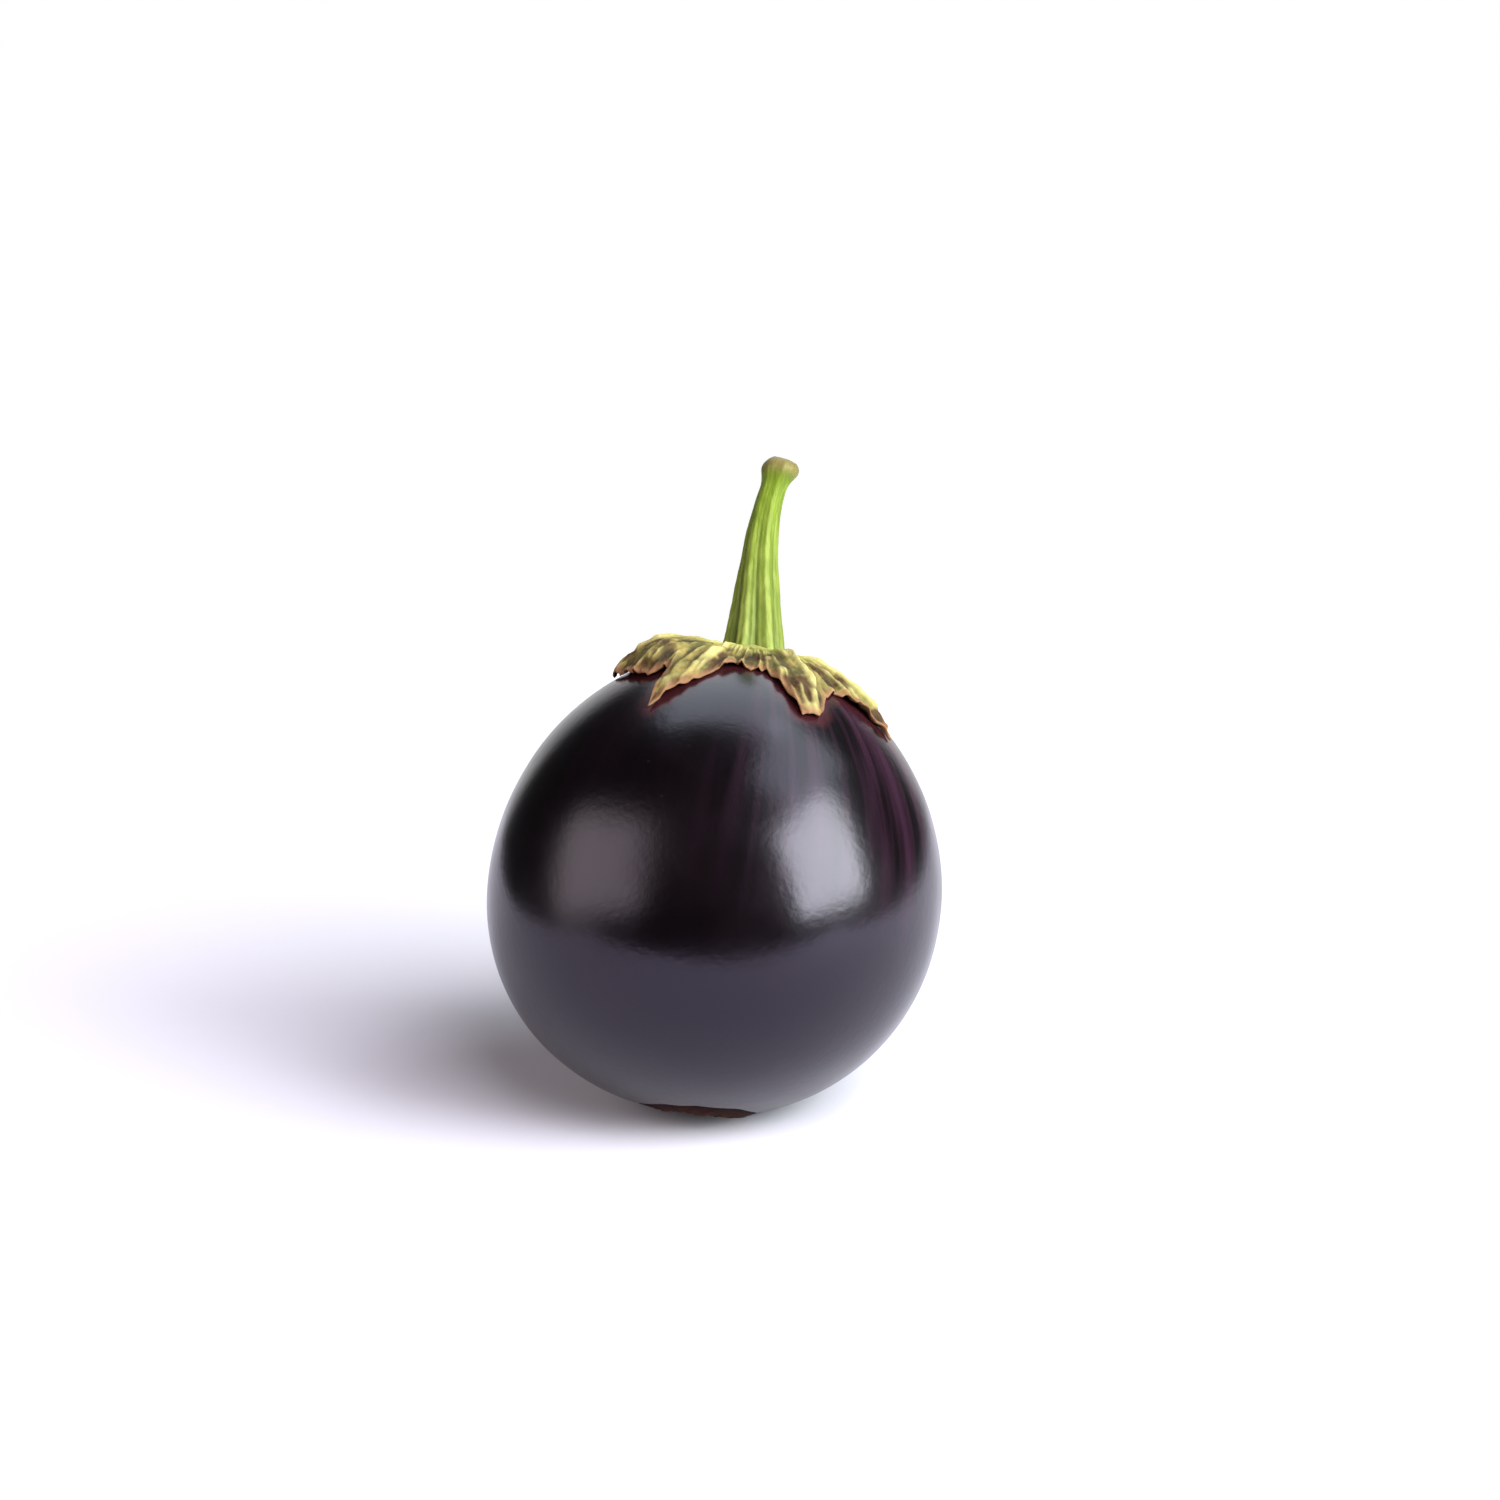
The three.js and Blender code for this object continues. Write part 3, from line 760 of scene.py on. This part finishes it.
def stemGrowth(finish):
    # A cylinder's rings are strung along a curved line, then given the stem's radius and ribs.
    tree, given = startTree("stemGrowth", stem)
    blank = addNode(tree, "GeometryNodeMeshCylinder",
                    {"Vertices": given["roundSteps"], "Side Segments": given["longSteps"],
                     "Fill Segments": given["capSteps"], "Radius": 1.0, "Depth": 1.0},
                    fill_type="TRIANGLE_FAN")
    here = addNode(tree, "GeometryNodeInputPosition")
    part = addNode(tree, "ShaderNodeSeparateXYZ", {0: here}).outputs
    share = addNode(tree, mathNode, {0: part["Z"], 1: 0.5}, operation="ADD")
    rest = addNode(tree, mathNode, {0: 1, 1: share}, operation="SUBTRACT")
    level = addNode(tree, vectorNode, {0: here, 1: (1, 1, 0)}, operation="MULTIPLY")
    fullness = addNode(tree, vectorNode, {0: level}, operation="LENGTH")
    azimuth = addNode(tree, mathNode, {0: part["Y"], 1: part["X"]}, operation="ARCTAN2")

    # Radius: a neck, a foot that flares, and a swollen end.
    spread = addNode(tree, mathNode, {0: given["baseRadius"], 1: given["neckRadius"]},
                     operation="SUBTRACT")
    flaring = addNode(tree, mathNode, {0: rest, 1: given["flare"]}, operation="POWER")
    slender = addNode(tree, mathNode, {0: spread, 1: flaring, 2: given["neckRadius"]},
                      operation="MULTIPLY_ADD")
    fromTip = addNode(tree, mathNode, {0: rest, 1: given["length"]}, operation="MULTIPLY")
    fromKnob = addNode(tree, mathNode, {0: fromTip, 1: given["knobPlace"]}, operation="SUBTRACT")
    swell = addNode(tree, mathNode, {0: addBell(tree, fromKnob, given["knobSpread"]),
                                     1: given["knobSwell"], 2: slender}, operation="MULTIPLY_ADD")

    # Ribs: deep at the foot, fading and turning a little towards the neck.
    twist = addNode(tree, mathNode, {0: share, 1: given["ribTwist"], 2: azimuth},
                    operation="MULTIPLY_ADD")
    turns = addNode(tree, mathNode, {0: twist, 1: given["ribs"]}, operation="MULTIPLY")
    wave = addNode(tree, mathNode, {0: turns}, operation="COSINE")
    groove = addNode(tree, mathNode, {0: wave, 1: -0.5, 2: 0.5}, operation="MULTIPLY_ADD")
    fading = addNode(tree, mathNode, {0: rest, 1: 0.85, 2: 0.15}, operation="MULTIPLY_ADD")
    depth = addNode(tree, mathNode, {0: fading, 1: given["ribDepth"]}, operation="MULTIPLY")
    carved = addNode(tree, mathNode, {0: groove, 1: depth}, operation="MULTIPLY")
    fibreTurns = addNode(tree, mathNode, {0: twist, 1: given["fibres"]}, operation="MULTIPLY")
    fibreWave = addNode(tree, mathNode, {0: fibreTurns}, operation="SINE")
    fibre = addNode(tree, mathNode, {0: fibreWave, 1: given["fibreDepth"]}, operation="MULTIPLY")
    fine = addNode(tree, mathNode, {0: fibre, 1: fading}, operation="MULTIPLY")
    scored = addNode(tree, mathNode, {0: carved, 1: fine}, operation="ADD")
    ending = addNode(tree, mathNode, {0: share, 1: given["roundingOnset"]}, operation="POWER")
    tucked = addNode(tree, mathNode, {0: ending, 1: given["edgeRounding"]}, operation="MULTIPLY")
    lost = addNode(tree, mathNode, {0: scored, 1: tucked}, operation="ADD")
    ribbed = addNode(tree, mathNode, {0: 1, 1: lost}, operation="SUBTRACT")

    # Lumps, up to 7% thicker or thinner.
    longer = addNode(tree, vectorNode, {0: here, 1: (1, 1, 4)}, operation="MULTIPLY")
    knot = addNode(tree, "ShaderNodeTexNoise",
                   {"Vector": longer, "W": given["seed"], "Scale": 2.2, "Detail": 3.0},
                   noise_dimensions="4D")
    knotted = addNode(tree, mathNode, {0: knot, 1: 0.14, 2: 0.93}, operation="MULTIPLY_ADD")
    uneven = addNode(tree, mathNode, {0: ribbed, 1: knotted}, operation="MULTIPLY")
    thick = addNode(tree, mathNode, {0: swell, 1: uneven}, operation="MULTIPLY")
    offset = addNode(tree, vectorNode, {0: level, "Scale": thick}, operation="SCALE")

    # The cut: slanted, hollow at the pith and ragged at its rim.
    top = addNode(tree, mathNode, {0: share, 1: given["cutOnset"]}, operation="POWER")
    across = addNode(tree, "ShaderNodeSeparateXYZ", {0: offset}).outputs["X"]
    slant = addNode(tree, mathNode, {0: across, 1: given["cutSlant"]}, operation="MULTIPLY")
    inward = addNode(tree, mathNode, {0: fullness, 1: 3}, operation="POWER")
    dish = addNode(tree, mathNode, {0: inward, 1: 1}, operation="SUBTRACT")
    dished = addNode(tree, mathNode, {0: dish, 1: given["cutHollow"]}, operation="MULTIPLY")
    chip = addNode(tree, "ShaderNodeTexNoise",
                   {"Vector": level, "W": given["seed"], "Scale": 2.6, "Detail": 4.0},
                   noise_dimensions="4D")
    chipped = addNode(tree, mathNode, {0: chip, 1: 0.5}, operation="SUBTRACT")
    chips = addNode(tree, mathNode, {0: chipped, 1: given["raggedness"]}, operation="MULTIPLY")
    face = addNode(tree, mathNode, {0: dished, 1: chips}, operation="ADD")
    ended = addNode(tree, mathNode, {0: slant, 1: face}, operation="ADD")
    cut = addNode(tree, mathNode, {0: ended, 1: top}, operation="MULTIPLY")
    cutting = addNode(tree, "ShaderNodeCombineXYZ", {2: cut})

    line = addNode(tree, "GeometryNodeCurvePrimitiveBezierSegment",
                   {"Resolution": 64, "Start": (0, 0, 0), "Start Handle": given["lowHandle"],
                    "End Handle": given["highHandle"], "End": given["tip"]}, mode="POSITION")
    spot = addNode(tree, "GeometryNodeSampleCurve", {"Curves": line, "Factor": share},
                   mode="FACTOR", data_type="FLOAT").outputs["Position"]
    strung = addNode(tree, vectorNode, {0: spot, 1: offset}, operation="ADD")
    topped = addNode(tree, vectorNode, {0: strung, 1: cutting}, operation="ADD")
    foot = addNode(tree, "ShaderNodeCombineXYZ", {2: given["foot"]})
    raised = addNode(tree, vectorNode, {0: topped, 1: foot}, operation="ADD")
    leant = addNode(tree, "ShaderNodeVectorRotate", {"Vector": raised, "Rotation": given["lean"]},
                    rotation_type="EULER_XYZ")
    stood = addNode(tree, vectorNode, {0: leant, 1: given["centre"]}, operation="ADD")
    metres = addNode(tree, vectorNode, {0: stood, "Scale": millimetre}, operation="SCALE")

    mesh = blank
    for name, value in (("share", share), ("fullness", fullness), ("groove", scored)):
        mesh = addNode(tree, "GeometryNodeStoreNamedAttribute",
                       {"Geometry": mesh, "Name": name, "Value": value},
                       data_type="FLOAT", domain="POINT")
    shaped = addNode(tree, "GeometryNodeSetPosition", {"Geometry": mesh, "Position": metres})
    return endTree(tree, shaped, finish)


stalkLook = {
    "foot": "#6d7235",
    "neck": "#5d6f17",
    "fibre": "#43540f",
    # painted shade: a darker green laid in the grooves between the ribs, by their depth
    "groove": "#2e3f08",
    "dryEnd": "#615632",
    "pith": "#4e3820",
    "wood": "#756844",
    "sheen": "#ffffcb",
    "grainSize": 0.8,
    "grainStretch": 0.08,  # the lower, the longer the grain
    "grainHeight": 0.12,
    "roughness": 0.48,
    "ior": 1.38,
}


def stemMaterial():
    # A green stalk: smooth, slightly waxy rind with ribs, painted shade darkening the grooves between
    # them, and fine fibres along it. The swollen end is dry and tan, and its cut face is woody with a
    # brown pith.
    material, tree = startMaterial("greenStalk")
    place = addNode(tree, "ShaderNodeTexCoord").outputs["Object"]
    share, fullness, carved = (
        addNode(tree, "ShaderNodeAttribute", attribute_name=name).outputs["Fac"]
        for name in ("share", "fullness", "groove"))
    grained = addNode(tree, "ShaderNodeMapping",
                      {"Vector": place, "Scale": (1, 1, stalkLook["grainStretch"])})
    grain = addNode(tree, "ShaderNodeTexNoise",
                    {"Vector": grained, "Scale": 1000 / stalkLook["grainSize"], "Detail": 4.0})
    fibred = addNode(tree, "ShaderNodeMapRange", {"Value": grain, "From Min": 0.42, "From Max": 0.62,
                                                  "To Min": 0.5, "To Max": 0})
    # Painted shade: the deeper the groove, the more of the darker green.
    paintedGrooveShade = addNode(tree, "ShaderNodeMapRange", {"Value": carved, "From Min": 0.08, "From Max": 0.2,
                                                   "To Min": 0, "To Max": 0.6})
    dried = addNode(tree, "ShaderNodeMapRange", {"Value": share, "From Min": 0.9, "From Max": 0.96})
    isCut = addNode(tree, "ShaderNodeMapRange", {"Value": fullness, "From Min": 0.9, "From Max": 0.97,
                                                 "To Min": 1, "To Max": 0})
    pith = addNode(tree, "ShaderNodeMapRange", {"Value": fullness, "From Min": 0.3, "From Max": 0.5})
    cutFace = addNode(tree, "ShaderNodeMix",
                      {0: pith, 1: linear(stalkLook["pith"]), 2: linear(stalkLook["wood"])},
                      data_type="RGBA")
    layers = [(share, stalkLook["neck"]), (fibred, stalkLook["fibre"]),
              (paintedGrooveShade, stalkLook["groove"]), (dried, stalkLook["dryEnd"]), (isCut, cutFace)]
    normal = addNode(tree, "ShaderNodeBump",
                     {"Height": grain, "Distance": stalkLook["grainHeight"] * millimetre,
                      "Strength": 1.0})
    endMaterial(tree, stalkLook["foot"], layers, stalkLook["roughness"], normal,
                {"IOR": stalkLook["ior"], "Specular Tint": linear(stalkLook["sheen"])})
    return material


stemPiece = grow("cutStem", stemGrowth(stemMaterial()), stem)
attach(stemPiece, "root")
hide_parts("stem")
print("stem grown:", len(stemPiece.data.polygons), "faces")


# Table, lamps and camera.

studio = {
    "table": {"left": -216, "right": 210, "front": -134, "back": 260, "depth": -0.1},
    "board": {"colour": "#c8c2d3", "glow": "#f7f0ff", "glowStrength": 1.1,
              "glowFrom": 50, "fullGlowFrom": 350},
    # How bright the room is, by how far a direction points to the back, where 1 is straight back.
    "room": {"dim": 0.03, "bright": 1, "dimUpTo": 0.8, "brightFrom": 0.92},
    "lamps": [
        # Azimuth is degrees right of the camera's side. Roll turns a lamp's top to the back, and
        # softness is the share of a lamp over which it fades to its edges. A lamp is used for its
        # mirrored patch, for lighting, or for both.
        {"name": "rightWindow", "azimuth": 61, "elevation": 21.5, "roll": 0, "size": (405, 405),
         "strength": 16.5, "colour": "#f2fff2", "softness": 0.35, "used": "both"},
        {"name": "upperRight", "azimuth": 84, "elevation": 56, "roll": 0, "size": (460, 340),
         "strength": 3.8, "colour": "#eefffa", "softness": 0.5, "used": "both"},
        {"name": "leftWindow", "azimuth": -62, "elevation": 20, "roll": 18, "size": (520, 450),
         "strength": 3.6, "colour": "#fff8ec", "softness": 0.6, "used": "both"},
        {"name": "overhead", "azimuth": 172, "elevation": 58, "roll": 0, "size": (450, 480),
         "strength": 3.0, "colour": "#f1ffff", "softness": 0.35, "used": "mirrored"},
        {"name": "frontFill", "azimuth": 28, "elevation": 42, "roll": 0, "size": (400, 400),
         "strength": 9.0, "colour": "#ffffff", "softness": 0.3, "used": "lighting"},
    ],
    "lampDistance": 450,
}


def addLamp(lamp, target):
    turn, rise = math.radians(lamp["azimuth"]), math.radians(lamp["elevation"])
    out = Vector((math.sin(turn) * math.cos(rise), -math.cos(turn) * math.cos(rise), math.sin(rise)))
    light = bpy.data.lights.new(lamp["name"], "AREA")
    light.shape = "RECTANGLE"
    light.size, light.size_y = (side * millimetre for side in lamp["size"])
    light.energy = lamp["strength"] * math.pi * light.size * light.size_y
    light.color = linear(lamp["colour"])[:3]
    light.use_nodes = True
    tree = light.node_tree
    tree.nodes.clear()
    spot = addNode(tree, "ShaderNodeNewGeometry").outputs["Parametric"]
    sides = addNode(tree, "ShaderNodeSeparateXYZ", {0: spot}).outputs
    shares = []
    for side in (sides["X"], sides["Y"]):
        shifted = addNode(tree, mathNode, {0: side, 1: 0.5}, operation="SUBTRACT")
        offset = addNode(tree, mathNode, {0: shifted}, operation="ABSOLUTE")
        shares.append(addNode(tree, "ShaderNodeMapRange",
                              {"Value": offset, "From Min": 0.5 - 0.5 * lamp["softness"],
                               "From Max": 0.5, "To Min": 1, "To Max": 0},
                              interpolation_type="SMOOTHSTEP"))
    fade = addNode(tree, mathNode, {0: shares[0], 1: shares[1]}, operation="MULTIPLY")
    glow = addNode(tree, "ShaderNodeEmission", {"Strength": fade})
    addNode(tree, "ShaderNodeOutputLight", {"Surface": glow})
    holder = bpy.data.objects.new(lamp["name"], light)
    holder.location = target + out * studio["lampDistance"] * millimetre
    holder.rotation_mode = "QUATERNION"
    roll = Quaternion((0, 0, 1), math.radians(lamp["roll"]))
    holder.rotation_quaternion = (-out).to_track_quat("-Z", "Y") @ roll
    holder.visible_camera = False
    holder.visible_glossy = lamp["used"] != "lighting"
    holder.visible_diffuse = lamp["used"] != "mirrored"
    bpy.context.scene.collection.objects.link(holder)


def addTable():
    # White board, which glows faintly away from the object so that it stays white to its edges.
    sides = {name: value * millimetre for name, value in studio["table"].items()}
    corners = [(sides[x], sides[y], sides["depth"]) for x, y in
               (("left", "front"), ("right", "front"), ("right", "back"), ("left", "back"))]
    mesh = bpy.data.meshes.new("table")
    mesh.from_pydata(corners, [], [(0, 1, 2, 3)])
    table = bpy.data.objects.new("table", mesh)
    bpy.context.scene.collection.objects.link(table)
    material, tree = startMaterial("mattWhiteBoard")
    place = addNode(tree, "ShaderNodeTexCoord").outputs["Object"]
    away = addNode(tree, vectorNode, {0: place}, operation="LENGTH")
    board = studio["board"]
    glow = addNode(tree, "ShaderNodeMapRange",
                   {"Value": away, "From Min": board["glowFrom"] * millimetre,
                    "From Max": board["fullGlowFrom"] * millimetre, "To Min": 0,
                    "To Max": board["glowStrength"]})
    shader = addNode(tree, "ShaderNodeBsdfPrincipled",
                     {"Base Color": linear(board["colour"]), "Roughness": 0.8,
                      "Specular IOR Level": 0.1, "Emission Color": linear(board["glow"]),
                      "Emission Strength": glow})
    addNode(tree, "ShaderNodeOutputMaterial", {"Surface": shader})
    mesh.materials.append(material)


def addRoom():
    # The camera sees white. The fruit mirrors a dim room, bright only behind the object.
    room = studio["room"]
    world = bpy.data.worlds.new("room")
    bpy.context.scene.world = world
    world.use_nodes = True
    tree = world.node_tree
    tree.nodes.clear()
    way = addNode(tree, "ShaderNodeTexCoord").outputs["Generated"]
    back = addNode(tree, "ShaderNodeSeparateXYZ", {0: way}).outputs["Y"]
    bright = addNode(tree, "ShaderNodeMapRange",
                     {"Value": back, "From Min": room["dimUpTo"], "From Max": room["brightFrom"],
                      "To Min": room["dim"], "To Max": room["bright"]},
                     interpolation_type="SMOOTHSTEP")
    seen = addNode(tree, "ShaderNodeLightPath").outputs["Is Camera Ray"]
    backdrop = addNode(tree, "ShaderNodeBackground", {"Color": linear("#ffffff"), "Strength": 1.0})
    surroundings = addNode(tree, "ShaderNodeBackground", {"Color": linear("#ffffff"), "Strength": bright})
    shown = addNode(tree, "ShaderNodeMixShader", {0: seen, 1: surroundings, 2: backdrop})
    addNode(tree, "ShaderNodeOutputWorld", {"Surface": shown})


view = {
    "elevation": 15,
    "distance": 500,
    "lens": 90,
    "sensor": 36,
    "aimRight": 4.4,  # from the fruit's centre, across the picture
    "aimUp": 17.7,
}


def addCamera(target):
    rise = math.radians(view["elevation"])
    back = Vector((0, -math.cos(rise), math.sin(rise)))
    up = Vector((0, math.sin(rise), math.cos(rise)))
    aim = target + (Vector((view["aimRight"], 0, 0)) + up * view["aimUp"]) * millimetre
    camera = bpy.data.objects.new("camera", bpy.data.cameras.new("camera"))
    camera.data.lens = view["lens"]
    camera.data.sensor_width = view["sensor"]
    camera.data.clip_start = 0.01
    camera.location = aim + back * view["distance"] * millimetre
    camera.rotation_mode = "QUATERNION"
    camera.rotation_quaternion = (-back).to_track_quat("-Z", "Y")
    bpy.context.scene.collection.objects.link(camera)
    bpy.context.scene.camera = camera


for lamp in studio["lamps"]:
    addLamp(lamp, fruitCentre)
addTable()
addRoom()
addCamera(fruitCentre)
bpy.context.scene.view_settings.view_transform = "Standard"
print("studio set")
